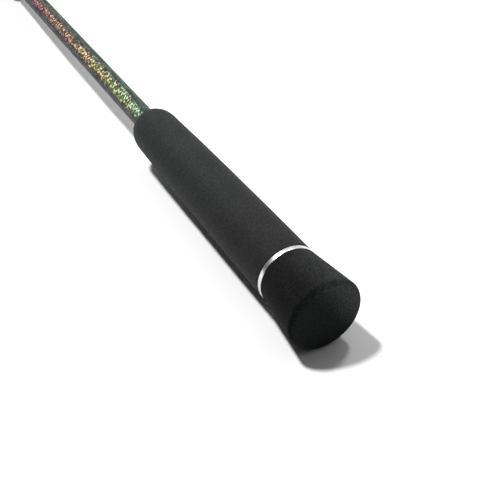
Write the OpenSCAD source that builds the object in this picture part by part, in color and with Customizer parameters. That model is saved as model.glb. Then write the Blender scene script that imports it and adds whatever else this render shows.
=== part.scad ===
// Two-piece spinning rod with a split handle, a screw-down pipe reel seat,
// a tip-over-butt ferrule, seven ringed guides and a ringed tip-top.
// Frame: X runs along the rod axis from the butt face (x = 0) to the tip,
// -Y is the reel and guide side, +Z is up when the rod lies on its side.

/* [Rod] */
// Length from the butt face to the tip-top ring
rod_len = 2100; // [2060:5:2200]
// Male end of the butt section
butt_len = 1085; // [1075:1:1095]
// Length of the ferrule overlap
ferrule_len = 60; // [40:1:70]

/* [Blank] */
// Outer diameter of the blank at the butt
blank_butt_d = 10.34; // [9.8:0.02:10.6]
// Loss of radius per millimetre in the butt section
butt_taper = 0.0015; // [0.0012:0.0001:0.0017]
// Outer diameter of the tip section at its open end
tip_base_d = 9.0; // [8.7:0.1:9.6]
// Outer diameter of the blank at the tip
tip_end_d = 2.0; // [1.8:0.1:2.2]

/* [Rear grip] */
// Widest diameter of the flared butt cap
cap_d = 29.2; // [28:0.1:31]
// Length of the butt cap
cap_len = 23.7; // [20:0.1:26]
// Diameter of the polished trim ring
ring_d = 24.5; // [24.4:0.1:25]
// Width of the trim ring
ring_w = 2.3; // [1.6:0.1:3]
// Length of the rear grip
grip_len = 123; // [100:1:150]
// Diameter of the rear grip at its front, before the rounded nose
grip_front_d = 21.2; // [19:0.1:22]
// Length of the rounded nose
nose_len = 8; // [5:0.5:10]

/* [Reel seat] */
// Start of the foam taper behind the reel seat
seat_x = 364; // [350:1:370]
// Outer diameter of the seat tube
seat_d = 18.8; // [18.4:0.1:19]
// Height of the hood pocket above the flat bed
pocket_h = 5.6; // [5.2:0.1:6]
// Thread pitch of the seat
pitch = 2; // [1.5:0.5:2]
// Largest radius of the lock nut
nut_r = 11.4; // [11.2:0.1:11.6]
// Number of finger flutes on the lock nut
flutes = 20; // [12:1:24]

/* [Foregrip] */
// Length of the foregrip
fore_len = 52; // [40:1:70]
// Diameter of the foregrip at the seat
fore_d = 22.4; // [20:0.1:23]
// Diameter of the foregrip at its front
fore_front_d = 14; // [12.5:0.1:16]

/* [Guides] */
// Outer radius of the largest guide frame
stripper_r = 9.5; // [9:0.1:10.5]
// Thickness of the guide legs
leg_t = 1.2; // [0.9:0.1:1.3]

/* [Hidden] */
$fn = 96;
gap = 0.02;              // assembly clearance between glued pieces
run = 0.06;              // running clearance of the sliding hood and the ferrule
blank_r0 = blank_butt_d / 2;
bx0 = 6;                 // the blank stands inside the butt cap
tx0 = butt_len - ferrule_len;
tip_end_x = rod_len - 5;
tip_taper = (tip_base_d / 2 - 0.35 - tip_end_d / 2) / (tip_end_x - butt_len);
ring_x = cap_len;
grip_x = cap_len + ring_w;
grip_x1 = grip_x + grip_len;
foil_t = 0.25;
seat_r = seat_d / 2;
bed_y = seat_r - 1;
seat0 = seat_x + 28;     // seat tube starts after the foam taper and its ring
seat1 = seat0 + 128;
pock_c = 4;              // centre of the pocket arc below the axis
pock_r = bed_y + pocket_h - pock_c;
hood_t = 1.5;
hood_x = seat0 + 86;     // mouth of the sliding hood, fully backed off
fore_x = seat1;
fore_x1 = fore_x + fore_len;
keep_x = fore_x1 + 38;   // hook keeper
// x, bore radius, insert radius, frame radius, ring height above the blank, foot length, feet
guides = [
    [905, 7.0, 8.5, stripper_r, 20, 19, 2],
    [1190, 5.0, 6.1, 7.1, 14, 15, 2],
    [1405, 3.7, 4.6, 5.4, 9.6, 12, 2],
    [1585, 2.8, 3.6, 4.3, 7.8, 11, 1],
    [1735, 2.3, 3.0, 3.6, 6.8, 10, 1],
    [1865, 2.1, 2.7, 3.2, 6.2, 9, 1],
    [1985, 2.1, 2.7, 3.2, 6.0, 9, 1]
];

// Outer radius of the butt section and of the tip section at x
function butt_r(x) = blank_r0 - butt_taper * x;
function tip_r(x) = x < butt_len ? tip_base_d / 2 - 0.35 * (x - tx0) / ferrule_len
    : tip_base_d / 2 - 0.35 - tip_taper * (x - butt_len);
function blank_r(x) = x < tx0 - 0.01 ? butt_r(x) : tip_r(x);
// Quarter-ellipse corner from [x, r] to [x + dx, r + dr], bulging away from the axis
function corner(x, r, dx, dr, n) = [for (i = [0:n]) [x + dx * (1 - cos(90 * i / n)), r + dr * sin(90 * i / n)]];
function nose(x, r, dx, dr, n) = [for (i = [0:n]) [x + dx * sin(90 * i / n), r + dr * (1 - cos(90 * i / n))]];

// A solid of revolution about X from [x, r] points
module turned(p) { rotate([0, 90, 0]) rotate_extrude() polygon([for (q = p) [q[1], q[0]]]); }
module rod_x(x0, x1, r0, r1) { translate([x0, 0, 0]) rotate([0, 90, 0]) cylinder(h = x1 - x0, r1 = r0, r2 = r1); }
// The blank from x0 to x1, c larger in radius, used to bore the pieces that sit on it
module blank_cut(x0, x1, c = gap) { rod_x(x0, x1, blank_r(x0) + c, blank_r(x1) + c); }

// ---- Butt section ----
module butt_blank() { color([0.10, 0.11, 0.12]) turned([[bx0, 3.7], [bx0, butt_r(bx0)], [butt_len, butt_r(butt_len)], [butt_len, 2.6]]); }
module ferrule_plug() { color([0.12, 0.12, 0.12]) rod_x(butt_len - 5, butt_len - 0.2, 2.55, 2.55); }
module prism_sleeve() {
    color([0.12, 0.16, 0.15]) difference() {
        rod_x(grip_x1, seat_x, butt_r(grip_x1) + foil_t, butt_r(seat_x) + foil_t);
        blank_cut(grip_x1 - 1, seat_x + 1);
    }
}
module butt_cap() {
    r = cap_d / 2;
    color([0.11, 0.11, 0.11]) difference() {
        turned(concat([[0, 0], [0, r - 1.1]], [for (i = [1:8]) [1.1 * (1 - cos(90 * i / 8)), r - 1.1 + 1.1 * sin(90 * i / 8)]],
            [[cap_len, ring_d / 2 - 0.05], [cap_len, 0]]));
        blank_cut(bx0 - 1, cap_len + 1);
    }
}
module butt_trim_ring() {
    r = ring_d / 2;
    color([0.83, 0.84, 0.86]) difference() {
        turned([[ring_x, 0], [ring_x, r - 0.25], [ring_x + 0.25, r], [ring_x + ring_w - 0.25, r], [ring_x + ring_w, r - 0.25], [ring_x + ring_w, 0]]);
        blank_cut(ring_x - 1, ring_x + ring_w + 1);
    }
}
function grip_r(t) = ring_d / 2 - 0.03 - 0.1 * t - (ring_d / 2 - 0.13 - grip_front_d / 2) * t * t;
module rear_grip() {
    xn = grip_len - nose_len;
    rn = grip_r(xn / grip_len);
    color([0.12, 0.12, 0.12]) difference() {
        turned(concat([[grip_x, 0]], [for (i = [0:10]) [grip_x + xn * i / 10, grip_r(xn * i / 10 / grip_len)]],
            [for (i = [1:12]) [grip_x + xn + nose_len * sin(90 * i / 12), rn - (rn - 6.4) * (1 - cos(90 * i / 12))]], [[grip_x1, 0]]));
        blank_cut(grip_x - 1, grip_x1 + 1);
    }
}

// ---- Reel seat ----
module seat_rear_grip() {
    color([0.12, 0.12, 0.12]) difference() {
        turned(concat([[seat_x, 0]], [for (i = [0:8]) [seat_x + 5 * (1 - cos(90 * i / 8)), 6 + 1.6 * sin(90 * i / 8)]],
            [for (i = [1:6]) [seat_x + 5 + 21 * i / 6, 7.6 + (seat_r + 1.2 - 7.6) * pow(sin(90 * i / 6), 0.9)]], [[seat0 - 2, 0]]));
        blank_cut(seat_x - 1, seat0);
    }
}
module seat_rear_ring() {
    r = seat_r + 1.35;
    color([0.83, 0.84, 0.86]) difference() {
        turned([[seat0 - 2, 0], [seat0 - 2, r - 0.25], [seat0 - 1.75, r], [seat0 - 0.25, r], [seat0, r - 0.25], [seat0, 0]]);
        blank_cut(seat0 - 3, seat0 + 1);
    }
}
thr0 = hood_x + 4;
nthr = floor((seat1 - 2 - thr0) / pitch);
module reel_seat_tube() {
    color([0.09, 0.09, 0.10]) difference() {
        turned(concat([[seat0, 7], [seat0, seat_r]],
            [for (i = [0:nthr - 1]) each [[thr0 + i * pitch, seat_r], [thr0 + (i + 0.15) * pitch, seat_r], [thr0 + (i + 0.45) * pitch, seat_r - 0.65], [thr0 + (i + 0.7) * pitch, seat_r - 0.65]]],
            [[thr0 + nthr * pitch, seat_r], [seat1, seat_r], [seat1, 7]]));
        // flat bed for the reel foot, 0.1 mm lower where the hoods cover it
        translate([seat0 + 14, -seat_r - 2, -seat_r]) cube([hood_x + 18 - seat0 - 14, 2 + seat_r - bed_y, 2 * seat_r]);
        for (x = [[seat0 + 14, seat0 + 32.4], [hood_x - 0.4, hood_x + 18]])
            translate([x[0], -seat_r - 2, -seat_r]) cube([x[1] - x[0], 2.1 + seat_r - bed_y, 2 * seat_r]);
        // keyway that stops the sliding hood from turning
        translate([hood_x - 22, seat_r - 1, -1.5]) cube([seat1 - hood_x + 23, 3, 3]);
    }
}
module fixed_hood() {
    rr = pock_r + hood_t + pock_c;
    x0 = seat0 + 4;
    color([0.10, 0.10, 0.11]) difference() {
        intersection() {
            hood_body(x0, x0 + 28, 0);
            turned([[x0, 0], [x0, seat_r + 0.9], [x0 + 3, seat_r + 2.3], [x0 + 11, rr - 0.4], [x0 + 14, rr + 1], [x0 + 28, rr + 1], [x0 + 28, 0]]);
        }
        rod_x(x0 - 1, x0 + 29, seat_r + gap, seat_r + gap);
        pocket(x0 + 12, x0 + 29);
    }
}
// Two circles joined by straight sides just inside their common tangents, drawn out along X
module hood_body(x0, x1, c) {
    r2 = pock_r + hood_t + c;
    r1 = r2 - 0.6;
    a = asin(0.6 / pock_c);
    q1 = r1 - 0.03;
    q2 = r2 - 0.03;
    translate([x0, 0, 0]) rotate([0, 90, 0]) linear_extrude(height = x1 - x0) union() {
        circle(r = r1);
        polygon([[q1 * cos(a), q1 * sin(a)], [-q1 * cos(a), q1 * sin(a)], [-q2 * cos(a), q2 * sin(a) - pock_c], [q2 * cos(a), q2 * sin(a) - pock_c]]);
        translate([0, -pock_c]) circle(r = r2);
    }
}
module pocket(x0, x1) {
    intersection() {
        translate([x0, -pock_c, 0]) rotate([0, 90, 0]) cylinder(h = x1 - x0, r = pock_r);
        translate([x0 - 1, -40, -20]) cube([x1 - x0 + 2, 40 - bed_y + 2, 40]);
    }
}
module fixed_hood_band() {
    x0 = seat0 + 26;
    color([0.80, 0.81, 0.83]) difference() {
        hood_body(x0, x0 + 4, 0.45);
        hood_body(x0 - 1, x0 + 5, gap);
    }
}
module seat_arbors() {
    color([0.55, 0.50, 0.42]) for (x = [seat0 + 8, seat0 + 54, seat0 + 100]) difference() {
        rod_x(x, x + 20, 7 - gap, 7 - gap);
        blank_cut(x - 1, x + 21);
    }
}
module sliding_hood() {
    rr = pock_r + hood_t + pock_c;
    x0 = hood_x;
    color([0.10, 0.10, 0.11]) difference() {
        union() {
            difference() {
                intersection() {
                    hood_body(x0, x0 + 24, 0);
                    turned([[x0, 0], [x0, rr + 1], [x0 + 13, rr + 1], [x0 + 17, rr - 0.6], [x0 + 22, seat_r + 2], [x0 + 24, seat_r + 1.7], [x0 + 24, 0]]);
                }
                rod_x(x0 - 1, x0 + 25, seat_r + run, seat_r + run);
                pocket(x0 - 1, x0 + 14);
            }
            // collar that the lock nut turns on, with its snap ridge
            difference() {
                turned([[x0 + 23.5, 0], [x0 + 23.5, seat_r + 0.95], [x0 + 26.6, seat_r + 0.95], [x0 + 26.9, seat_r + 1.2], [x0 + 27.6, seat_r + 1.2], [x0 + 28.2, seat_r + 0.95], [x0 + 30, seat_r + 0.95], [x0 + 30, 0]]);
                rod_x(x0 + 23, x0 + 31, seat_r + run, seat_r + run);
            }
            // key that runs in the keyway
            translate([x0 + 2, seat_r - 0.85, -1.35]) cube([21, 1.4, 2.7]);
        }
    }
}
module sliding_hood_band() {
    x0 = hood_x + 1.5;
    color([0.80, 0.81, 0.83]) difference() {
        hood_body(x0, x0 + 4, 0.45);
        hood_body(x0 - 1, x0 + 5, gap);
    }
}
module lock_nut() {
    x0 = hood_x + 24.3;
    color([0.10, 0.10, 0.11]) difference() {
        turned([[x0, 0], [x0, nut_r - 0.8], [x0 + 0.6, nut_r - 0.35], [x0 + 2.6, nut_r - 0.35], [x0 + 2.9, nut_r], [x0 + 14.4, nut_r], [x0 + 15.2, nut_r - 0.6], [x0 + 15.2, 0]]);
        rod_x(x0 - 1, x0 + 16, seat_r + run, seat_r + run);
        // counterbore over the hood's collar
        turned([[x0 - 1, 0], [x0 - 1, seat_r + 1.03], [x0 + 2.2, seat_r + 1.03], [x0 + 2.5, seat_r + 1.28], [x0 + 3.5, seat_r + 1.28], [x0 + 4.0, seat_r + 1.03], [x0 + 6, seat_r + 1.03], [x0 + 6, 0]]);
        for (i = [0:flutes - 1]) rotate([360 * (i + 0.5) / flutes, 0, 0]) translate([x0 + 3.7, 0, nut_r + 0.55]) rotate([0, 90, 0]) cylinder(h = 20, r = 1.0, $fn = 24);
    }
}
module lock_nut_band() {
    x0 = hood_x + 24.3;
    color([0.83, 0.84, 0.86]) difference() {
        rod_x(x0 + 0.9, x0 + 2.5, nut_r + 0.1, nut_r + 0.1);
        rod_x(x0, x0 + 3, nut_r - 0.35 + gap, nut_r - 0.35 + gap);
    }
}

// ---- Foregrip, wraps and hook keeper ----
module foregrip() {
    r0 = fore_d / 2;
    r1 = fore_front_d / 2;
    color([0.12, 0.12, 0.12]) difference() {
        turned(concat([[fore_x, 0], [fore_x, r0 - 1]], [for (i = [1:5]) [fore_x + 1.2 * (1 - cos(90 * i / 5)), r0 - 1 + sin(90 * i / 5)]],
            [for (i = [1:9]) [fore_x + 1.2 + (fore_len - 1.2) * i / 9, r1 + (r0 - r1) * (1 + cos(180 * pow(i / 9, 1.1))) / 2]], [[fore_x1, 0]]));
        blank_cut(fore_x - 1, fore_x1 + 1);
    }
}
module foregrip_ring() {
    r = fore_front_d / 2 + 0.2;
    color([0.83, 0.84, 0.86]) difference() {
        turned([[fore_x1, 0], [fore_x1, r - 0.2], [fore_x1 + 0.3, r], [fore_x1 + 1.6, r - 0.2], [fore_x1 + 3, 5.4], [fore_x1 + 3, 0]]);
        blank_cut(fore_x1 - 1, fore_x1 + 4);
    }
}
module fore_wrap() {
    x0 = fore_x1 + 3;
    color([0.11, 0.11, 0.12]) difference() {
        turned([[x0, 0], [x0, butt_r(x0) + 0.55], [x0 + 18, butt_r(x0 + 18) + 0.5], [x0 + 20, butt_r(x0 + 20) + 0.15], [x0 + 20, 0]]);
        blank_cut(x0 - 1, x0 + 21);
    }
}
module hook_keeper() {
    b = butt_r(keep_x) + 0.6;
    color([0.78, 0.79, 0.81]) translate([keep_x, 0, 0]) rotate([90, 0, 0]) {
        translate([0, 0, b + 2.8]) rotate([90, 0, 0]) rotate_extrude(angle = 180) translate([3.7, 0]) circle(r = 0.5, $fn = 32);
        for (s = [-1, 1]) {
            translate([s * 3.7, 0, b]) cylinder(h = 2.8, r = 0.5, $fn = 32);
            translate([s * 3.7, 0, b]) sphere(r = 0.5, $fn = 32);
            translate([s * 3.7, 0, b]) rotate([0, s * 90, 0]) cylinder(h = 7, r = 0.5, $fn = 32);
        }
    }
}
module hook_keeper_wraps() {
    b = butt_r(keep_x);
    color([0.11, 0.11, 0.12]) for (s = [-1, 1]) difference() {
        turned(s > 0 ? [[keep_x + 4.6, 0], [keep_x + 4.6, b + 1.35], [keep_x + 10.5, b + 1.25], [keep_x + 12.5, b + 0.3], [keep_x + 12.5, 0]]
            : [[keep_x - 12.5, 0], [keep_x - 12.5, b + 0.3], [keep_x - 10.5, b + 1.25], [keep_x - 4.6, b + 1.35], [keep_x - 4.6, 0]]);
        blank_cut(keep_x - 13, keep_x + 13);
        translate([keep_x + s * 3.7, 0, 0]) rotate([90, 0, 0]) translate([0, 0, b + 0.6]) rotate([0, s * 90, 0]) cylinder(h = 7.05, r = 0.5 + gap, $fn = 32);
    }
}

// ---- Guides ----
// A bar of section t by w between two points
module strut(p, q, t, w) {
    v = q - p;
    l = norm(v);
    translate(p) rotate([0, -asin(v[2] / l), atan2(v[1], v[0])]) translate([0, -t / 2, -w / 2]) cube([l, t, w]);
}
function leg_x(g) = g[4] * 0.62;
// Foot that lies on the blank from the leg at xa to the toe at xb; c makes the cutter for the wrap
module foot(x, xa, xb, w, c = 0) {
    lo = min(xa, xb);
    hi = max(xa, xb);
    f = xb > xa ? 1 : -1;
    intersection() {
        rod_x(lo - c, hi + c, blank_r(x + lo) + (f > 0 ? 1.05 : 0.3) + c, blank_r(x + hi) + (f > 0 ? 0.3 : 1.05) + c);
        translate([lo - c, -w / 2 - c, 0]) cube([hi - lo + 2 * c, w + 2 * c, 12]);
    }
}
module guide_frame(g) {
    x = g[0];
    h = blank_r(x) + g[4];
    ro = g[3];
    lx = leg_x(g);
    w = min(3.4, ro * 0.5);
    t = min(leg_t, ro * 0.22);
    ri = g[2] + gap;
    color([0.56, 0.57, 0.60]) translate([x, 0, 0]) rotate([90, 0, 0]) difference() {
        union() {
            translate([0, 0, h]) rotate([0, 90, 0]) translate([0, 0, -t * 0.7]) cylinder(h = 1.4 * t, r = ro);
            for (s = [-1, 1]) strut([0, s * (ro - t) * sin(52), h - (ro - t) * cos(52)], [lx, s * w * 0.3, blank_r(x + lx) + 0.55], t, 1.7 * t);
            if (g[6] == 2) strut([0, 0, h - ro + 0.4 * t], [-lx, 0, blank_r(x - lx) + 0.6], 1.8 * t, 1.2 * t);
            foot(x, lx - 1.2, lx + g[5], w);
            if (g[6] == 2) foot(x, -lx + 1.2, -lx - g[5], w);
        }
        translate([0, 0, h]) rotate([0, 90, 0]) translate([0, 0, -10]) cylinder(h = 20, r = ri);
        rod_x(-60, 60, blank_r(x - 60) + gap, blank_r(x + 60) + gap);
    }
}
module guide_insert(g) {
    h = blank_r(g[0]) + g[4];
    t = min(leg_t, g[3] * 0.22);
    e = (g[2] - g[1]) * 0.42;
    color([0.20, 0.21, 0.23]) translate([g[0], -h, 0]) turned([[-t - e / 3, g[1] + e], [-t, g[2] - e / 2], [-t * 0.8, g[2]], [t * 0.8, g[2]], [t, g[2] - e / 2], [t + e / 3, g[1] + e],
        [t * 0.75, g[1] + e * 0.25], [t * 0.5, g[1]], [-t * 0.5, g[1]], [-t * 0.75, g[1] + e * 0.25]]);
}
module guide_wrap(g) {
    x = g[0];
    lx = leg_x(g);
    w = min(3.4, g[3] * 0.5);
    color([0.11, 0.11, 0.12]) for (f = g[6] == 2 ? [-1, 1] : [1]) {
        xa = f * (lx + 1.6);
        xb = f * (lx + g[5] + 2.5);
        xm = f * (lx + g[5] * 0.45);
        difference() {
            translate([x, 0, 0]) turned(f > 0
                ? [[xa, 0], [xa, blank_r(x + xa) + 1.35], [xm, blank_r(x + xm) + 1.25], [xb - 2, blank_r(x + xb) + 0.75], [xb, blank_r(x + xb) + 0.2], [xb, 0]]
                : [[xb, 0], [xb, blank_r(x + xb) + 0.2], [xb + 2, blank_r(x + xb) + 0.75], [xm, blank_r(x + xm) + 1.25], [xa, blank_r(x + xa) + 1.35], [xa, 0]]);
            translate([x, 0, 0]) rotate([90, 0, 0]) foot(x, f > 0 ? lx - 1.2 : -lx + 1.2, f > 0 ? lx + g[5] : -lx - g[5], w, 0.04);
            translate([x, 0, 0]) rod_x(-60, 60, blank_r(x - 60) + gap, blank_r(x + 60) + gap);
        }
    }
}

// ---- Tip section ----
module tip_blank() {
    color([0.10, 0.11, 0.12]) turned([[tx0, butt_r(tx0) + run], [tx0, tip_r(tx0)], [butt_len, tip_r(butt_len)], [tip_end_x, tip_end_d / 2],
        [tip_end_x, 0.4], [butt_len + 10, tip_r(butt_len + 10) - 0.95], [butt_len + 2, butt_r(butt_len) + run], [butt_len, butt_r(butt_len) + run]]);
}
module ferrule_wrap() {
    color([0.11, 0.11, 0.12]) difference() {
        turned([[tx0 + 0.5, 0], [tx0 + 0.5, tip_r(tx0) + 0.3], [tx0 + 1.5, tip_r(tx0 + 1.5) + 0.5], [tx0 + 34, tip_r(tx0 + 34) + 0.45], [tx0 + 37, tip_r(tx0 + 37) + 0.1], [tx0 + 37, 0]]);
        rod_x(tx0 - 1, tx0 + 41, tip_r(tx0 - 1 + 0) + gap, tip_r(tx0 + 41) + gap);
    }
}
tt_h = 3.1;
tt_x = rod_len;
module tip_top_frame() {
    color([0.56, 0.57, 0.60]) difference() {
        union() {
            rod_x(tt_x - 19, tt_x - 4.2, tip_r(tt_x - 19) + 0.42, tip_r(tt_x - 4.2) + 0.42);
            translate([tt_x, 0, 0]) rotate([90, 0, 0]) {
                translate([-0.6, 0, tt_h]) rotate([0, 90, 0]) cylinder(h = 1.2, r = 2.75);
                for (s = [-1, 1]) {
                    strut([0, s * 2.25, tt_h], [-9, s * 1.05, 0.3], 0.7, 0.9);
                    strut([0, s * 1.3, tt_h - 1.9], [-5.2, s * 0.9, 0.2], 0.7, 0.9);
                }
            }
        }
        translate([tt_x - 3, -tt_h, 0]) rotate([0, 90, 0]) cylinder(h = 6, r = 2.2 + gap);
        rod_x(tt_x - 40, tt_x - 4.95, tip_r(tt_x - 40) + gap, tip_r(tt_x - 4.95) + gap);
    }
}
module tip_top_insert() {
    color([0.20, 0.21, 0.23]) translate([tt_x, -tt_h, 0]) turned([[-0.8, 1.85], [-0.6, 2.2], [0.6, 2.2], [0.8, 1.85], [0.55, 1.6], [-0.55, 1.6]]);
}
module tip_top_wrap() {
    color([0.11, 0.11, 0.12]) difference() {
        turned([[tt_x - 27, 0], [tt_x - 27, tip_r(tt_x - 27) + 0.15], [tt_x - 26, tip_r(tt_x - 26) + 0.4], [tt_x - 19.1, tip_r(tt_x - 19) + 0.42], [tt_x - 19.1, 0]]);
        rod_x(tt_x - 40, tt_x, tip_r(tt_x - 40) + gap, tip_r(tt_x) + gap);
    }
}

butt_blank();
prism_sleeve();
butt_cap();
butt_trim_ring();
rear_grip();
seat_rear_grip();
seat_rear_ring();
reel_seat_tube();
fixed_hood();
fixed_hood_band();
seat_arbors();
foregrip();
foregrip_ring();
fore_wrap();
hook_keeper();
hook_keeper_wraps();
ferrule_plug();
guide_frame(guides[0]);  // guide_1_frame
guide_insert(guides[0]);  // guide_1_insert
guide_wrap(guides[0]);  // guide_1_wraps
sliding_hood();
sliding_hood_band();
lock_nut();
lock_nut_band();
tip_blank();
ferrule_wrap();
guide_frame(guides[1]);  // guide_2_frame
guide_insert(guides[1]);  // guide_2_insert
guide_wrap(guides[1]);  // guide_2_wraps
guide_frame(guides[2]);  // guide_3_frame
guide_insert(guides[2]);  // guide_3_insert
guide_wrap(guides[2]);  // guide_3_wraps
guide_frame(guides[3]);  // guide_4_frame
guide_insert(guides[3]);  // guide_4_insert
guide_wrap(guides[3]);  // guide_4_wrap
guide_frame(guides[4]);  // guide_5_frame
guide_insert(guides[4]);  // guide_5_insert
guide_wrap(guides[4]);  // guide_5_wrap
guide_frame(guides[5]);  // guide_6_frame
guide_insert(guides[5]);  // guide_6_insert
guide_wrap(guides[5]);  // guide_6_wrap
guide_frame(guides[6]);  // guide_7_frame
guide_insert(guides[6]);  // guide_7_insert
guide_wrap(guides[6]);  // guide_7_wrap
tip_top_frame();
tip_top_insert();
tip_top_wrap();
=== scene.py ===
import bpy, bmesh, math
import numpy as np
from mathutils import Vector, Matrix


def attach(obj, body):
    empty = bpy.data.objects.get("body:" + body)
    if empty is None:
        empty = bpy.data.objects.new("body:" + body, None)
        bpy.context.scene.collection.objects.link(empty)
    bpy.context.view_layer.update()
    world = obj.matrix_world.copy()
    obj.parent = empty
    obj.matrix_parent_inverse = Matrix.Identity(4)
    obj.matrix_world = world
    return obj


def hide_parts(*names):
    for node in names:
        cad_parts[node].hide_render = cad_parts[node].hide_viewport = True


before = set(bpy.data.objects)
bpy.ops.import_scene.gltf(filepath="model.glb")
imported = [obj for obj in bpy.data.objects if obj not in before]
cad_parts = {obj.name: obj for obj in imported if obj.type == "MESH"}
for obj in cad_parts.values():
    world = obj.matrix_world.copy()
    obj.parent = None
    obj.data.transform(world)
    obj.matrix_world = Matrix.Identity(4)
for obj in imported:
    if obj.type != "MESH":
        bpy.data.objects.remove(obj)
scene = bpy.context.scene


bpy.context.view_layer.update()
MM = 0.001
PI = math.pi


# ---------------------------------------------------------------- camera
def look_camera():
    """The butt end seen from behind, above and the left of the rod."""
    heading, pitch, focal = math.radians(28.3), math.radians(37.0), 850.0
    fwd = Vector((math.cos(pitch) * math.cos(heading), -math.cos(pitch) * math.sin(heading), -math.sin(pitch)))
    right = Vector((-math.sin(heading), -math.cos(heading), 0.0))
    down = fwd.cross(right)
    dist = 12.46 * 24.5
    aim = Vector((26.0, 0.0, 0.0))
    loc = aim - (right * ((286.9 - 240) / focal * dist) + down * ((273.5 - 240) / focal * dist) + fwd * dist)
    cam = bpy.data.cameras.new("camera")
    cam.sensor_width = 36.0
    cam.sensor_fit = "HORIZONTAL"
    cam.lens = focal / 480.0 * 36.0
    cam.clip_start = 0.005
    cam.clip_end = 50.0
    obj = bpy.data.objects.new("camera", cam)
    m = Matrix((right, -down, -fwd)).transposed().to_4x4()
    m.translation = loc * MM
    obj.matrix_world = m
    scene.collection.objects.link(obj)
    scene.camera = obj
    return obj


camera = look_camera()


# ---------------------------------------------------------------- materials
class Mat:
    """A small helper around one node material. Coordinates are the object's own, in metres."""

    def __init__(self, name):
        self.mat = bpy.data.materials.new(name)
        self.mat.use_nodes = True
        self.nt = self.mat.node_tree
        self.bsdf = self.nt.nodes["Principled BSDF"]
        self.tc = self.nt.nodes.new("ShaderNodeTexCoord")
        self.co = self.tc.outputs["Object"]
        self._xyz = None

    def set(self, **values):
        for key, v in values.items():
            self.bsdf.inputs[key.replace("_", " ")].default_value = v
        return self

    def node(self, kind, inputs=None, **attrs):
        n = self.nt.nodes.new("ShaderNode" + kind)
        for k, v in attrs.items():
            setattr(n, k, v)
        for k, v in (inputs or {}).items():
            if hasattr(v, "is_linked"):
                self.nt.links.new(v, n.inputs[k])
            else:
                n.inputs[k].default_value = v
        return n

    def math(self, op, a, b=0.0, c=0.0, clamp=False):
        n = self.node("Math", {0: a, 1: b, 2: c}, operation=op, use_clamp=clamp)
        return n.outputs[0]

    def xyz(self):
        if self._xyz is None:
            self._xyz = self.node("SeparateXYZ", {0: self.co})
        return self._xyz.outputs

    def scaled(self, s):
        m = self.node("Mapping", {"Vector": self.co, "Scale": s})
        return m.outputs[0]

    def noise(self, scale, detail=4.0, rough=0.55, vec=None, distortion=0.0):
        n = self.node("TexNoise", {"Vector": vec or self.co, "Scale": scale, "Detail": detail, "Roughness": rough, "Distortion": distortion})
        return n.outputs[0]

    def voronoi(self, scale, vec=None, feature="F1", out="Distance", randomness=1.0):
        n = self.node("TexVoronoi", {"Vector": vec or self.co, "Scale": scale, "Randomness": randomness}, feature=feature)
        return n.outputs[out]

    def ramp(self, fac, stops, interp="LINEAR"):
        n = self.node("ValToRGB", {0: fac})
        cr = n.color_ramp
        cr.interpolation = interp
        while len(cr.elements) > 1:
            cr.elements.remove(cr.elements[-1])
        cr.elements[0].position = stops[0][0]
        cr.elements[0].color = (*stops[0][1], 1.0)
        for p, c in stops[1:]:
            e = cr.elements.new(p)
            e.color = (*c, 1.0)
        return n.outputs[0]

    def remap(self, v, a, b, c, d):
        n = self.node("MapRange", {0: v, 1: a, 2: b, 3: c, 4: d})
        return n.outputs[0]

    def mix(self, fac, a, b, blend="MIX"):
        n = self.nt.nodes.new("ShaderNodeMix")
        n.data_type = "RGBA"
        n.blend_type = blend
        for sock, v in ((n.inputs[0], fac), (n.inputs[6], a), (n.inputs[7], b)):
            if hasattr(v, "is_linked"):
                self.nt.links.new(v, sock)
            elif isinstance(v, (int, float)):
                sock.default_value = v
            else:
                sock.default_value = (*v, 1.0)
        return n.outputs[2]

    def to(self, socket, value):
        self.nt.links.new(value, self.bsdf.inputs[socket])
        return self

    def bump(self, height, strength, distance, normal=None):
        ins = {"Strength": strength, "Distance": distance, "Height": height}
        if normal is not None:
            ins["Normal"] = normal
        n = self.node("Bump", ins)
        return n.outputs[0]


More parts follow.
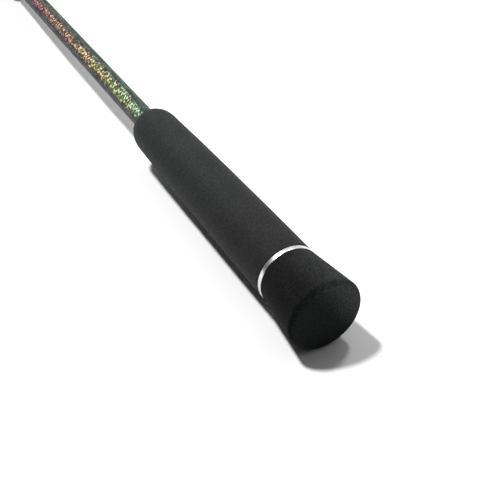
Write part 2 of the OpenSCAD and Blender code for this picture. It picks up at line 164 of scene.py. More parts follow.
def eva(name, cool=(0.0146, 0.0174, 0.0166), warm=(0.0098, 0.0096, 0.0095), end=(0.0205, 0.0208, 0.0210), gloss=0.12):
    """Fine closed-cell foam, sanded: near-black, dull, with pores, a fine light grain and a soft sheen at grazing angles."""
    m = Mat(name)
    x, y, z = m.xyz()[0], m.xyz()[1], m.xyz()[2]
    cap = m.remap(x, 0.0240, 0.0255, 1.0, 0.0)
    base = m.mix(m.remap(x, 0.026, 0.15, 0.0, 1.0), warm, cool)
    # painted shade: the cap's colour is darkened to a third towards its +Y side and underneath
    painted_shade_side = m.remap(m.math("SUBTRACT", y, m.math("MULTIPLY", z, 0.45)), -0.011, 0.001, 1.0, 0.0)
    base = m.mix(cap, base, m.mix(painted_shade_side, m.mix(1.0, end, (0.30, 0.30, 0.30), "MULTIPLY"), end))
    cloud = m.noise(70.0, 3.0, 0.6)
    base = m.mix(m.remap(cloud, 0.35, 0.7, 0.0, 1.0), base, m.mix(1.0, base, (0.74, 0.75, 0.75), "MULTIPLY"))
    # painted light: the butt face is painted paler towards its -Y side and top, where light falls on it
    lean = m.math("ADD", m.math("MULTIPLY", y, -700.0), m.math("MULTIPLY", z, 500.0))
    lean = m.math("ADD", lean, m.math("MULTIPLY", m.math("SUBTRACT", cloud, 0.5), 4.0))
    painted_light_patch = m.node("MapRange", {0: lean, 1: 0.5, 2: 11.0, 3: 0.0, 4: 1.0}, interpolation_type="SMOOTHSTEP").outputs[0]
    face = m.node("MapRange", {0: x, 1: -0.0005, 2: 0.0004, 3: 1.0, 4: 0.0}, interpolation_type="SMOOTHSTEP").outputs[0]
    base = m.mix(face, base, (0.0110, 0.0122, 0.0124))
    base = m.mix(m.math("MULTIPLY", painted_light_patch, face), base, (0.048, 0.050, 0.049))
    grain = m.noise(1500.0, 5.0, 0.7)
    base = m.mix(m.remap(grain, 0.35, 0.72, 0.0, 1.0), m.mix(1.0, base, (0.5, 0.5, 0.5), "MULTIPLY"), m.mix(1.0, base, (1.8, 1.8, 1.8), "MULTIPLY"))
    speck = m.voronoi(650.0, feature="F1")
    base = m.mix(m.remap(speck, 0.0, 0.16, 0.5, 0.0), base, (0.060, 0.062, 0.060))
    pores = m.voronoi(1100.0, feature="F1")
    base = m.mix(m.remap(pores, 0.0, 0.22, 0.6, 0.0), base, (0.004, 0.004, 0.004))
    m.to("Base Color", base)
    m.to("Roughness", m.math("ADD", m.remap(grain, 0.3, 0.7, 0.80, 0.64), m.math("MULTIPLY", cap, 0.10)))
    m.set(Sheen_Weight=0.02, Sheen_Roughness=0.45, Specular_IOR_Level=gloss)
    h = m.bump(m.remap(pores, 0.0, 0.35, 0.0, 1.0), 0.45, 0.00012)
    h = m.bump(grain, 0.5, 0.00016, h)
    m.to("Normal", m.bump(m.noise(260.0, 3.0, 0.5), 0.25, 0.0004, h))
    return m.mat


def polished(name, tint=(0.80, 0.805, 0.81), rough=0.13):
    """Turned and polished aluminium with fine rings around the axis."""
    m = Mat(name)
    lines = m.noise(1.0, 3.0, 0.6, vec=m.scaled((5200.0, 160.0, 160.0)))
    # darker patches in the metal's colour: partly wear, partly painted reflection of darker surroundings
    wear_and_reflection = m.noise(130.0, 3.0, 0.6)
    m.to("Base Color", m.mix(m.remap(wear_and_reflection, 0.42, 0.62, 0.0, 0.85), tint, (0.44, 0.45, 0.46)))
    m.to("Roughness", m.remap(lines, 0.3, 0.7, rough * 0.7, rough * 1.6))
    m.set(Metallic=1.0)
    m.to("Normal", m.bump(lines, 0.12, 0.00005))
    return m.mat


def brushed(name, tint=(0.62, 0.63, 0.64), rough=0.28):
    m = Mat(name)
    lines = m.noise(1.0, 4.0, 0.65, vec=m.scaled((7000.0, 120.0, 120.0)))
    spots = m.noise(300.0, 4.0, 0.6)
    m.to("Base Color", m.mix(m.remap(spots, 0.4, 0.75, 0.0, 0.45), tint, tuple(0.75 * c for c in tint)))
    m.to("Roughness", m.remap(lines, 0.3, 0.7, rough * 0.75, rough * 1.5))
    m.set(Metallic=1.0, Anisotropic=0.4)
    m.to("Normal", m.bump(lines, 0.2, 0.00006))
    return m.mat


def carbon(name):
    """Dark laminate under a clear gloss coat, with faint winding marks of the tape it was rolled under."""
    m = Mat(name)
    x, y, z = m.xyz()[0], m.xyz()[1], m.xyz()[2]
    fibre = m.noise(1.0, 5.0, 0.7, vec=m.scaled((90.0, 2600.0, 2600.0)))
    ang = m.math("ARCTAN2", y, z)
    tape = m.math("SINE", m.math("ADD", m.math("MULTIPLY", x, 2 * PI / 0.0032), ang))
    base = m.mix(m.remap(fibre, 0.3, 0.75, 0.0, 1.0), (0.010, 0.012, 0.014), (0.032, 0.036, 0.040))
    base = m.mix(m.remap(tape, -1.0, 1.0, 0.0, 0.35), base, (0.018, 0.024, 0.024))
    m.to("Base Color", base)
    m.to("Roughness", m.remap(fibre, 0.3, 0.7, 0.24, 0.36))
    m.set(Coat_Weight=1.0, Coat_Roughness=0.04, Specular_IOR_Level=0.5)
    m.to("Normal", m.bump(tape, 0.10, 0.00006))
    return m.mat


def prism(name):
    """Holographic film under clear coat: short slanted foil dashes, painted bright as highlights in three bands around
    the blank where the foil's glints would be, their hue running along the rod.
    """
    m = Mat(name)
    x, y, z = m.xyz()[0], m.xyz()[1], m.xyz()[2]
    ang = m.math("ARCTAN2", y, z)                      # 0 on top, grows towards +Y
    off = m.math("SUBTRACT", ang, 0.63)
    arc = m.math("MULTIPLY", off, 5.2)                 # millimetres around, from the middle of the band
    xm = m.math("MULTIPLY", x, 1000.0)                 # millimetres along
    lean = m.remap(m.noise(190.0, 1.0, 0.5), 0.38, 0.62, -0.35, 0.75)
    wob = m.math("SUBTRACT", m.noise(520.0, 2.0, 0.5), 0.5)
    u = m.math("DIVIDE", m.math("ADD", xm, m.math("MULTIPLY", lean, arc)), 1.42)
    v = m.math("DIVIDE", arc, 2.1)
    flat = m.node("CombineXYZ", {0: m.math("ADD", u, m.math("MULTIPLY", wob, 0.9)), 1: m.math("ADD", v, m.math("MULTIPLY", wob, 0.5)), 2: 0.0}).outputs[0]
    dash = m.node("TexVoronoi", {"Vector": flat, "Scale": 1.0, "Randomness": 0.86}, voronoi_dimensions="2D", feature="F1").outputs
    r3 = m.node("SeparateColor", {0: dash["Color"]}).outputs
    bar = m.node("MapRange", {0: dash["Distance"], 1: 0.17, 2: 0.40, 3: 1.0, 4: 0.0}, interpolation_type="SMOOTHSTEP").outputs[0]
    small = m.node("Mapping", {"Vector": flat, "Scale": (1.9, 1.5, 1.0), "Location": (7.3, 3.1, 0.0)}).outputs[0]
    spark = m.node("TexVoronoi", {"Vector": small, "Scale": 1.0, "Randomness": 1.0}, voronoi_dimensions="2D", feature="F1").outputs
    s3 = m.node("SeparateColor", {0: spark["Color"]}).outputs
    dot = m.node("MapRange", {0: spark["Distance"], 1: 0.10, 2: 0.36, 3: 1.0, 4: 0.0}, interpolation_type="SMOOTHSTEP").outputs[0]
    dot = m.math("MULTIPLY", dot, m.remap(s3[0], 0.35, 0.9, 0.0, 0.75))
    lit = m.math("MAXIMUM", m.math("MULTIPLY", bar, m.remap(r3[0], 0.12, 0.60, 0.15, 1.0)), dot)
    # the painted highlight band: its edge is ragged from dash to dash
    side = m.node("Math", {0: off, 1: PI / 3, 2: -PI / 3}, operation="WRAP").outputs[0]   # three painted highlight bands, one to each side
    edge = m.math("ABSOLUTE", m.math("ADD", side, m.math("MULTIPLY", m.math("SUBTRACT", r3[1], 0.5), 0.34)))
    edge = m.math("ADD", edge, m.remap(x, 0.16, 0.34, 0.0, 0.15))
    band = m.node("MapRange", {0: edge, 1: 0.29, 2: 0.58, 3: 1.0, 4: 0.0}, interpolation_type="SMOOTHSTEP").outputs[0]
    hue = m.math("ADD", x, m.math("MULTIPLY", m.math("SUBTRACT", r3[2], 0.5), 0.044))
    hue = m.math("ADD", hue, m.remap(side, -0.5, 0.3, -0.016, 0.022))
    t = m.remap(hue, 0.149, 0.349, 0.0, 1.0)
    colour = m.ramp(t, [
        (0.00, (0.24, 0.70, 0.40)), (0.10, (0.42, 0.78, 0.38)), (0.20, (0.66, 0.80, 0.32)), (0.30, (0.82, 0.76, 0.28)),
        (0.40, (0.78, 0.60, 0.26)), (0.52, (0.74, 0.48, 0.27)), (0.64, (0.72, 0.37, 0.27)), (0.76, (0.68, 0.25, 0.23)),
        (0.88, (0.58, 0.13, 0.22)), (1.00, (0.40, 0.10, 0.30))])
    # odd red flecks, where the grating of a single dash is turned the other way
    colour = m.mix(m.math("MULTIPLY", m.math("GREATER_THAN", r3[1], 0.90), 0.8), colour, (0.66, 0.20, 0.20))
    deep = m.mix(1.0, colour, (0.085, 0.080, 0.060), "MULTIPLY")
    # off the band the film is dim and mottled: bluish grey towards +Y, dark green towards -Y
    edgy = m.mix(m.remap(x, 0.20, 0.30, 0.0, 1.0), (0.050, 0.074, 0.056), (0.048, 0.056, 0.042))
    dim = m.mix(m.remap(ang, -0.2, 1.1, 0.0, 1.0), edgy, (0.056, 0.055, 0.060))
    dim = m.mix(m.math("MULTIPLY", m.remap(m.noise(120.0, 2.0, 0.5), 0.52, 0.66, 0.0, 0.8), m.remap(ang, 0.2, -0.2, 0.0, 1.0)), dim, (0.022, 0.105, 0.072))
    fine = m.noise(1500.0, 3.0, 0.65)
    streak = m.noise(1.0, 3.0, 0.6, vec=m.scaled((90.0, 850.0, 850.0)))
    mottle = m.math("MULTIPLY", m.math("ADD", m.math("MULTIPLY", lit, 1.1), m.remap(fine, 0.35, 0.65, 0.2, 0.9)), m.remap(streak, 0.40, 0.60, 0.35, 1.5))
    dim = m.mix(1.0, dim, m.node("CombineColor", {0: mottle, 1: mottle, 2: mottle}).outputs[0], "MULTIPLY")
    base = m.mix(band, dim, deep)
    # painted highlight: inside the bands the dashes are painted pale and bright, as glints
    painted_glint = m.math("MULTIPLY", lit, band)
    base = m.mix(painted_glint, base, m.mix(0.30, colour, (0.80, 0.76, 0.70)))
    m.to("Base Color", base)
    m.to("Metallic", m.remap(painted_glint, 0.0, 0.8, 0.0, 0.25))
    m.to("Roughness", m.remap(fine, 0.3, 0.7, 0.40, 0.52))
    m.set(Coat_Weight=0.03, Coat_Roughness=0.12, Coat_IOR=1.5, Specular_IOR_Level=0.06)
    m.to("Normal", m.bump(lit, 0.50, 0.00009))
    return m.mat


def moulded(name, base=(0.018, 0.018, 0.020), rough=0.42):
    """Satin moulded nylon with a fine spark-eroded grain and rubbed edges."""
    m = Mat(name)
    grain = m.noise(3200.0, 3.0, 0.6)
    smear = m.noise(110.0, 4.0, 0.6)
    col = m.mix(m.remap(smear, 0.35, 0.75, 0.0, 1.0), base, tuple(1.9 * c for c in base))
    geo = m.node("NewGeometry")
    edge = m.remap(geo.outputs["Pointiness"], 0.52, 0.60, 0.0, 0.5)
    col = m.mix(edge, col, (0.09, 0.09, 0.095))
    m.to("Base Color", col)
    m.to("Roughness", m.remap(m.math("ADD", m.math("MULTIPLY", grain, 0.5), m.math("MULTIPLY", smear, 0.5)), 0.3, 0.7, rough - 0.08, rough + 0.12))
    m.set(Specular_IOR_Level=0.45)
    m.to("Normal", m.bump(grain, 0.25, 0.00005))
    return m.mat


def thread(name, base=(0.012, 0.013, 0.016), accent=(0.030, 0.075, 0.060), pitch=0.00024):
    """Wound rod-building thread under a thick clear epoxy coat."""
    m = Mat(name)
    x, y, z = m.xyz()[0], m.xyz()[1], m.xyz()[2]
    ang = m.math("ARCTAN2", y, z)
    turn = m.math("SINE", m.math("ADD", m.math("MULTIPLY", x, 2 * PI / pitch), ang))
    tint = m.noise(600.0, 3.0, 0.6)
    col = m.mix(m.remap(turn, -1.0, 1.0, 0.0, 1.0), base, tuple(2.4 * c for c in base))
    col = m.mix(m.remap(tint, 0.5, 0.75, 0.0, 0.7), col, accent)
    m.to("Base Color", col)
    m.to("Roughness", m.remap(tint, 0.3, 0.7, 0.34, 0.5))
    m.set(Coat_Weight=1.0, Coat_Roughness=0.03)
    m.to("Normal", m.bump(turn, 0.3, 0.00004))
    return m.mat


def plated(name, tint=(0.20, 0.205, 0.22), rough=0.2):
    """Grey plated steel of the guide frames."""
    m = Mat(name)
    fine = m.noise(2400.0, 4.0, 0.6)
    stain = m.noise(240.0, 4.0, 0.6)
    m.to("Base Color", m.mix(m.remap(stain, 0.4, 0.75, 0.0, 0.6), tint, tuple(0.65 * c for c in tint)))
    m.to("Roughness", m.remap(fine, 0.3, 0.7, rough * 0.8, rough * 1.5))
    m.set(Metallic=1.0)
    m.to("Normal", m.bump(fine, 0.1, 0.00004))
    return m.mat


def ceramic(name):
    m = Mat(name)
    fine = m.noise(3500.0, 4.0, 0.6)
    m.to("Base Color", m.mix(m.remap(fine, 0.35, 0.7, 0.0, 1.0), (0.012, 0.012, 0.014), (0.028, 0.029, 0.033)))
    m.to("Roughness", m.remap(fine, 0.3, 0.7, 0.07, 0.16))
    m.set(Specular_IOR_Level=0.8, Coat_Weight=0.4, Coat_Roughness=0.03)
    m.to("Normal", m.bump(m.noise(500.0, 3.0, 0.5), 0.03, 0.0001))
    return m.mat


def rigid_foam(name, base=(0.42, 0.33, 0.20)):
    m = Mat(name)
    cells = m.voronoi(1300.0)
    m.to("Base Color", m.mix(m.remap(cells, 0.0, 0.4, 0.0, 1.0), tuple(0.5 * c for c in base), base))
    m.to("Roughness", m.remap(cells, 0.0, 0.5, 0.98, 0.8))
    m.to("Normal", m.bump(cells, 0.5, 0.0002))
    return m.mat


EVA = eva("eva_foam")
EVA_CAP = eva("eva_foam_cap", gloss=0.025)
RING = polished("polished_aluminium", rough=0.27)
BAND = brushed("brushed_steel")
CARBON = carbon("carbon_gloss")
PRISM = prism("prism_film")
NYLON = moulded("seat_nylon")
HOOD = moulded("hood_nylon", (0.021, 0.021, 0.023), 0.36)
THREAD = thread("black_thread")
FRAME = plated("guide_plating")
CERAMIC = ceramic("guide_ceramic")
ARBOR = rigid_foam("arbor_foam")
PLUG = moulded("plug_rubber", (0.015, 0.015, 0.015), 0.7)


# ---------------------------------------------------------------- mesh helpers, in millimetres
def add(name, verts, faces, mat, body, nodes=(), sharp=38.0):
    me = bpy.data.meshes.new(name)
    me.from_pydata((np.asarray(verts, float) * MM).tolist(), [], [list(map(int, f)) for f in faces])
    bm = bmesh.new()
    bm.from_mesh(me)
    bmesh.ops.remove_doubles(bm, verts=bm.verts, dist=1e-7)
    bmesh.ops.dissolve_degenerate(bm, edges=bm.edges, dist=1e-7)
    bmesh.ops.recalc_face_normals(bm, faces=bm.faces)
    bm.to_mesh(me)
    bm.free()
    me.polygons.foreach_set("use_smooth", [True] * len(me.polygons))
    me.set_sharp_from_angle(angle=math.radians(sharp))
    me.materials.append(mat)
    ob = bpy.data.objects.new(name, me)
    scene.collection.objects.link(ob)
    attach(ob, body)
    if nodes:
        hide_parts(*nodes)
    return ob


def rounded(points, closed=True, steps=6):
    """points (x, r, fillet) to a polyline with its corners rounded."""
    out = []
    n = len(points)
    for i, (x, y, f) in enumerate(points):
        if f <= 0 or (not closed and i in (0, n - 1)):
            out.append((x, y))
            continue
        p = Vector((x, y))
        a = Vector(points[i - 1][:2]) - p
        b = Vector(points[(i + 1) % n][:2]) - p
        la, lb = a.length, b.length
        a.normalize()
        b.normalize()
        t = min(f / math.tan(max(a.angle(b), 0.05) / 2), la * 0.48, lb * 0.48)
        s, e = p + a * t, p + b * t
        for k in range(steps + 1):
            u = k / steps
            q = s * (1 - u) ** 2 + p * (2 * u * (1 - u)) + e * u ** 2
            out.append((q.x, q.y))
    return out


def lathe(profile, n=128, centre=(0.0, 0.0), wobble=None):
    """A closed (x, r) profile turned about the X axis through y, z = centre. Points on the axis become poles."""
    prof = np.array(profile, float)
    th = np.linspace(0, 2 * PI, n, endpoint=False)
    verts, rows = [], []
    for x, r in prof:
        if r < 1e-6:
            rows.append([len(verts)] * n)
            verts.append((x, centre[0], centre[1]))
            continue
        rows.append(list(range(len(verts), len(verts) + n)))
        for t in th:
            rr = r + (wobble(x, t) if wobble else 0.0)
            verts.append((x, centre[0] - rr * math.cos(t), centre[1] + rr * math.sin(t)))
    faces = []
    m = len(prof)
    for i in range(m):
        a, b = rows[i], rows[(i + 1) % m]
        for j in range(n):
            k = (j + 1) % n
            f = []
            for v in (a[j], a[k], b[k], b[j]):
                if v not in f:
                    f.append(v)
            if len(f) > 2:
                faces.append(f)
    return verts, faces


def shell(xs, th, ro, ri):
    """A wall between two surfaces that are star-shaped about X. Angle 0 is the -Y side; ro and ri give radii over (x, angle array)."""
    th = np.asarray(th, float)
    n = len(th)
    verts, outer, inner = [], [], []
    for x in xs:
        for rows, fn in ((outer, ro), (inner, ri)):
            r = np.broadcast_to(np.asarray(fn(x, th), float), th.shape)
            rows.append(len(verts))
            verts.extend(zip(np.full(n, x), -r * np.cos(th), r * np.sin(th)))
    faces = []
    for i in range(len(xs) - 1):
        for j in range(n):
            k = (j + 1) % n
            faces.append((outer[i] + j, outer[i] + k, outer[i + 1] + k, outer[i + 1] + j))
            faces.append((inner[i] + j, inner[i + 1] + j, inner[i + 1] + k, inner[i] + k))
    for i in (0, len(xs) - 1):
        for j in range(n):
            k = (j + 1) % n
            faces.append((outer[i] + j, inner[i] + j, inner[i] + k, outer[i] + k))
    return verts, faces


def merge(*parts):
    verts, faces = [], []
    for v, f in parts:
        o = len(verts)
        verts.extend(v)
        faces.extend([[q + o for q in face] for face in f])
    return verts, faces


def sweep(path, sizes, side, n=14, power=0.75):
    """A bar along path with a width (along side) and a thickness at each point, and rounded corners."""
    P = [Vector(p) for p in path]
    verts, faces = [], []
    for i, p in enumerate(P):
        t = (P[min(i + 1, len(P) - 1)] - P[max(i - 1, 0)]).normalized()
        s = Vector(side[i] if isinstance(side, list) else side)
        s = (s - t * s.dot(t)).normalized()
        u = t.cross(s)
        w, h = sizes[i]
        for k in range(n):
            a = 2 * PI * k / n
            c, d = math.cos(a), math.sin(a)
            verts.append(tuple(p + s * (w / 2 * math.copysign(abs(c) ** power, c)) + u * (h / 2 * math.copysign(abs(d) ** power, d))))
    for i in range(len(P) - 1):
        for k in range(n):
            q = (k + 1) % n
            faces.append((i * n + k, i * n + q, (i + 1) * n + q, (i + 1) * n + k))
    faces.append(tuple(range(n)))
    faces.append(tuple((len(P) - 1) * n + k for k in range(n)))
    return verts, faces


def smooth(rows, times=2):
    """Corner cutting on rows of numbers, with the ends kept."""
    rows = [np.array(r, float) for r in rows]
    for _ in range(times):
        out = [rows[0]]
        for a, b in zip(rows, rows[1:]):
            out += [a * 0.75 + b * 0.25, a * 0.25 + b * 0.75]
        out.append(rows[-1])
        rows = out
    return rows


# ---------------------------------------------------------------- the rod's own measures, in millimetres
LEN, BUTT, FER = 2100.0, 1085.0, 60.0
TX0, TIP_END = BUTT - FER, 2095.0
TAPER = (4.5 - 0.35 - 1.0) / (TIP_END - BUTT)
SX = 364.0                    # foam taper behind the seat
SEAT0, SEAT1, SR = SX + 28, SX + 156, 9.4
BED = SR - 1.0
PC, PR, HT = 4.0, 10.0, 1.5
HX = SEAT0 + 86.0


def butt_r(x):
    return 5.17 - 0.0015 * x


def tip_r(x):
    return 4.5 - 0.35 * (x - TX0) / FER if x < BUTT else 4.15 - TAPER * (x - BUTT)


def blank_r(x):
    return butt_r(x) if x < TX0 - 0.01 else tip_r(x)


def uneven(amount, seed=0.0):
    """The slight waviness of hand-sanded foam."""
    def f(x, t):
        return amount * (0.5 * math.sin(0.11 * x + 2 * t + seed) + 0.3 * math.sin(0.23 * x - 3 * t + 1.7 * seed) + 0.2 * math.sin(0.41 * x + 5 * t + seed))
    return f


# ---------------------------------------------------------------- butt end
def build_butt():
    # butt cap: nearly flat end face, rounded rim, flare from the ring
    r, rr = 14.6, 12.2
    prof = [(-0.75, 0.0)] + [(-0.75 + 0.22 * (q / 12.4) ** 2, q) for q in np.linspace(1.5, 12.4, 12)]
    prof += [(-0.53 + 2.1 * (1 - math.cos(a)), 12.42 + 2.14 * math.sin(a)) for a in np.linspace(0.1, PI / 2 - 0.04, 14)]
    prof += [(x, r - (r - rr) * (x - 1.1) / 22.55) for x in np.linspace(1.9, 23.0, 26)]
    prof += [(23.5, 12.20), (23.8, 12.12), (23.88, 11.8), (23.88, butt_r(23) + 0.02), (5.0, butt_r(5) + 0.02), (5.0, 0.0)]
    v, f = lathe(prof, 192, wobble=lambda x, t: uneven(0.035, 0.4)(x, t) if 1.0 < x < 23.0 else 0.0)
    add("butt_cap_foam", v, f, EVA_CAP, "butt_section", ["butt_cap"])
    v, f = lathe(rounded([(23.90, 12.16, 0.25), (25.84, 12.16, 0.25), (25.84, butt_r(26) + 0.02, 0.05), (23.90, butt_r(24) + 0.02, 0.05)]), 192)
    add("trim_ring", v, f, RING, "butt_section", ["butt_trim_ring"])
    # rear grip with its rounded nose
    prof = [(25.86, butt_r(26) + 0.02), (25.86, 11.8), (25.94, 12.10), (26.25, 12.22)]
    L, nose = 123.0, 10.0
    xn = L - nose
    g = lambda t: 12.22 - 0.1 * t - 1.52 * t * t
    prof += [(26 + s, g(s / L)) for s in np.linspace(1.2, xn, 90)]
    rn = g(xn / L)
    prof += [(26 + xn + nose * math.sin(a), rn - (rn - 6.3) * (1 - math.cos(a))) for a in np.linspace(0.1, PI / 2 - 0.02, 18)]
    prof += [(149.0, 6.0), (148.85, butt_r(149) + 0.35), (148.2, butt_r(148) + 0.27)]
    v, f = lathe(prof, 192, wobble=lambda x, t: uneven(0.045, 1.3)(x, t) if 27.0 < x < 147.0 else 0.0)
    add("rear_grip_foam", v, f, EVA, "butt_section", ["rear_grip"])
    # film sleeve
    prof = [(148.3, butt_r(148) + 0.24), (149.0, butt_r(149) + 0.25)] + [(x, butt_r(x) + 0.25) for x in np.linspace(150, SX - 0.4, 110)]
    prof += [(SX - 0.05, butt_r(SX) + 0.12), (SX - 0.05, butt_r(SX) + 0.01), (148.3, butt_r(148) + 0.01)]
    v, f = lathe(prof, 128)
    add("prism_film_sleeve", v, f, PRISM, "butt_section", ["prism_sleeve"])
    # blank of the butt section
    prof = [(6.0, 3.7), (6.0, butt_r(6) - 0.15), (6.2, butt_r(6))] + [(x, butt_r(x)) for x in np.linspace(10, BUTT - 0.4, 216)]
    prof += [(BUTT - 0.1, butt_r(BUTT) - 0.1), (BUTT, butt_r(BUTT) - 0.35), (BUTT, 2.62)] + [(x, 2.6 + 1.1 * (BUTT - x) / (BUTT - 6)) for x in np.linspace(BUTT - 1, 8, 40)]
    v, f = lathe(prof, 96)
    add("butt_blank_tube", v, f, CARBON, "butt_section", ["butt_blank"])
    v, f = lathe(rounded([(BUTT - 5, 0.0, 0), (BUTT - 5, 2.54, 0.2), (BUTT - 0.2, 2.54, 0.5), (BUTT - 0.2, 0.9, 0.2), (BUTT - 0.7, 0.6, 0.2), (BUTT - 0.7, 0.0, 0)]), 64)
    add("ferrule_end_plug", v, f, PLUG, "butt_section", ["ferrule_plug"])


# ---------------------------------------------------------------- reel seat
def hood_radius(th, c):
    """Radius of the hood's outline: two circles of which the second is PC off the axis, joined by tangents."""
    r2 = PR + HT + c
    r1 = r2 - 0.6
    t = np.abs((th + PI) % (2 * PI) - PI)
    fn = math.acos(-0.6 / PC)
    t2 = math.atan2(r2 * math.sin(fn), PC + r2 * math.cos(fn))
    circ2 = PC * np.cos(t) + np.sqrt(np.maximum(r2 ** 2 - (PC * np.sin(t)) ** 2, 0))
    line = r1 / np.maximum(np.cos(t - fn), 0.05)
    return np.where(t < t2, circ2, np.where(t < fn, line, r1))


def pocket_radius(th, base):
    t = np.abs((th + PI) % (2 * PI) - PI)
    rp = PC * np.cos(t) + np.sqrt(PR ** 2 - (PC * np.sin(t)) ** 2)
    return np.where(rp * np.cos(t) > BED - 2.0, np.maximum(rp, base), base)


def ring_angles(n, extra=()):
    a = list(np.linspace(0, 2 * PI, n, endpoint=False))
    for e in extra:
        a += [e % (2 * PI), (-e) % (2 * PI)]
    return np.array(sorted(set(round(v, 7) for v in a)))


EDGE = 0.9847  # angle where the pocket's floor meets its wall


def interp(x, pts):
    xs, ys = zip(*pts)
    return float(np.interp(x, xs, ys))


def bevel(x, x0, x1, r):
    """How far a wall's surface drops near its ends, for a rounded edge of radius r."""
    d = min(x - x0, x1 - x)
    return 0.0 if d >= r else r - math.sqrt(max(r * r - (r - d) ** 2, 0.0))


def fine_xs(x0, x1, step, marks=(), r=0.0):
    xs = list(np.arange(x0, x1, step)) + [x1]
    if r:
        xs += [x0 + r * (1 - math.cos(a)) for a in np.linspace(0, PI / 2, 6)] + [x1 - r * (1 - math.cos(a)) for a in np.linspace(0, PI / 2, 6)]
    for mk in marks:
        xs += [mk - 0.001, mk + 0.001]
    return sorted(set(round(v, 4) for v in xs if x0 <= v <= x1))


def build_seat():
    # foam taper and its ring
    prof = [(SX + 0.05, butt_r(SX) + 0.03), (SX + 0.05, 5.6)]
    prof += [(SX + 0.05 + 5 * (1 - math.cos(a)), 5.9 + 1.7 * math.sin(a)) for a in np.linspace(0.15, PI / 2, 10)]
    prof += [(SX + 5.0 + 21 * s, 7.6 + (SR + 1.2 - 7.6) * math.sin(PI / 2 * s) ** 0.92) for s in np.linspace(0.04, 0.99, 26)]
    prof += [(SEAT0 - 2.05, SR + 0.9), (SEAT0 - 2.03, butt_r(SEAT0) + 0.02)]
    v, f = lathe(prof, 144, wobble=lambda x, t: uneven(0.03, 2.2)(x, t) if SX + 2 < x < SEAT0 - 3 else 0.0)
    add("seat_taper_foam", v, f, EVA, "butt_section", ["seat_rear_grip"])
    r = SR + 1.35
    v, f = lathe(rounded([(SEAT0 - 1.98, r, 0.2), (SEAT0 - 0.02, r, 0.2), (SEAT0 - 0.02, butt_r(SEAT0) + 0.02, 0.03), (SEAT0 - 1.98, butt_r(SEAT0) + 0.02, 0.03)]), 144)
    add("seat_rear_trim", v, f, RING, "butt_section", ["seat_rear_ring"])
    # seat tube: flat bed, keyway and a helical thread
    thr0, thr1 = HX + 4.0, SEAT1 - 2.0
    bed0, bed1 = SEAT0 + 14.0, HX + 18.0
    key0 = HX - 22.0
    ka = math.asin(1.5 / SR)
    th = ring_angles(180, [PI - ka - 0.004, PI - ka + 0.004])

    def outer(x, t):
        rr = np.full(t.shape, SR)
        if thr0 < x < thr1:
            ph = ((x - thr0) / 2.0 + t / (2 * PI)) % 1.0
            cut = np.interp(ph, [0.0, 0.18, 0.45, 0.68, 0.95, 1.0], [0, 0, 1, 1, 0, 0])
            fade = min(1.0, (x - thr0) / 1.2, (thr1 - x) / 1.2)
            rr = rr - 0.65 * cut * fade
        if bed0 <= x <= bed1:
            c = np.cos(t)
            bed = BED if SEAT0 + 32.4 < x < HX - 0.4 else BED - 0.1
            rr = np.where(c > 0.3, np.minimum(rr, bed / np.maximum(c, 0.3)), rr)
        if x >= key0:
            d = np.abs(t - PI)
            rr = np.where(d < ka, np.minimum(rr, (SR - 1.0) / np.cos(d)), rr)
        return rr - bevel(x, SEAT0 + 0.02, SEAT1 - 0.02, 0.3)

    xs = fine_xs(SEAT0 + 0.02, thr0, 2.0, [bed0, key0, SEAT0 + 32.4, HX - 0.4], 0.3) + fine_xs(thr0 + 0.01, SEAT1 - 0.02, 0.16, [bed1], 0.0)
    xs = sorted(set(xs))
    v, f = shell(xs, th, outer, lambda x, t: 7.0)
    add("reel_seat_barrel", v, f, NYLON, "butt_section", ["reel_seat_tube"], sharp=30)
    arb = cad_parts["seat_arbors"]
    arb.data.materials.clear()
    arb.data.materials.append(ARBOR)

    # hoods
    th = ring_angles(168, [EDGE - 0.006, EDGE + 0.006])
    top = PR + HT + PC
    x0, x1 = SEAT0 + 4.0, SEAT0 + 32.0
    lim = [(x0, SR + 0.95), (x0 + 1.2, SR + 1.25), (x0 + 3, SR + 2.1), (x0 + 6.0, top - 3.0), (x0 + 9, top - 1.4), (x0 + 12, top - 0.5), (x0 + 16, top), (x1, top + 1)]

    def fixed_out(x, t):
        return np.minimum(hood_radius(t, 0.0), interp(x, lim)) - bevel(x, x0 - 5, x1, 0.5)

    def fixed_in(x, t):
        base = SR + 0.02
        rr = pocket_radius(t, base) if x > x0 + 12 else np.full(t.shape, base)
        return rr + bevel(x, x0 - 5, x1, 0.35)

    v, f = shell(fine_xs(x0, x1, 0.6, [x0 + 12], 0.5), th, fixed_out, fixed_in)
    add("fixed_hood_shell", v, f, HOOD, "butt_section", ["fixed_hood"], sharp=32)
    band = lambda a, b: (lambda x, t: hood_radius(t, 0.45) - bevel(x, a, b, 0.28))
    v, f = shell(fine_xs(SEAT0 + 26, SEAT0 + 30, 0.5, (), 0.28), ring_angles(168), band(SEAT0 + 26, SEAT0 + 30), lambda x, t: hood_radius(t, 0.02))
    add("fixed_hood_trim", v, f, BAND, "butt_section", ["fixed_hood_band"])

    x0 = HX
    lim2 = [(x0, top + 1), (x0 + 10, top), (x0 + 13, top - 0.5), (x0 + 16, top - 1.6), (x0 + 19, top - 3.2), (x0 + 22, SR + 2.0), (x0 + 24, SR + 1.7)]

    def slide_out(x, t):
        u = x - x0
        if u <= 24.0:
            return np.minimum(hood_radius(t, 0.0), interp(x, lim2)) - bevel(x, x0, x0 + 60, 0.5)
        return np.full(t.shape, SR + interp(u, [(24.0, 0.95), (26.6, 0.95), (26.9, 1.2), (27.6, 1.2), (28.2, 0.95), (29.7, 0.95), (30.0, 0.75)]))

    def slide_in(x, t):
        base = SR + 0.06
        rr = pocket_radius(t, base) if x < x0 + 14 else np.full(t.shape, base)
        u = x - x0
        if 2.0 < u < 23.0:  # key in the keyway
            d = np.abs(t - PI)
            rr = np.where(d < kb, (SR - 0.85) / np.cos(d), rr)
        return rr + bevel(x, x0, x0 + 60, 0.35)

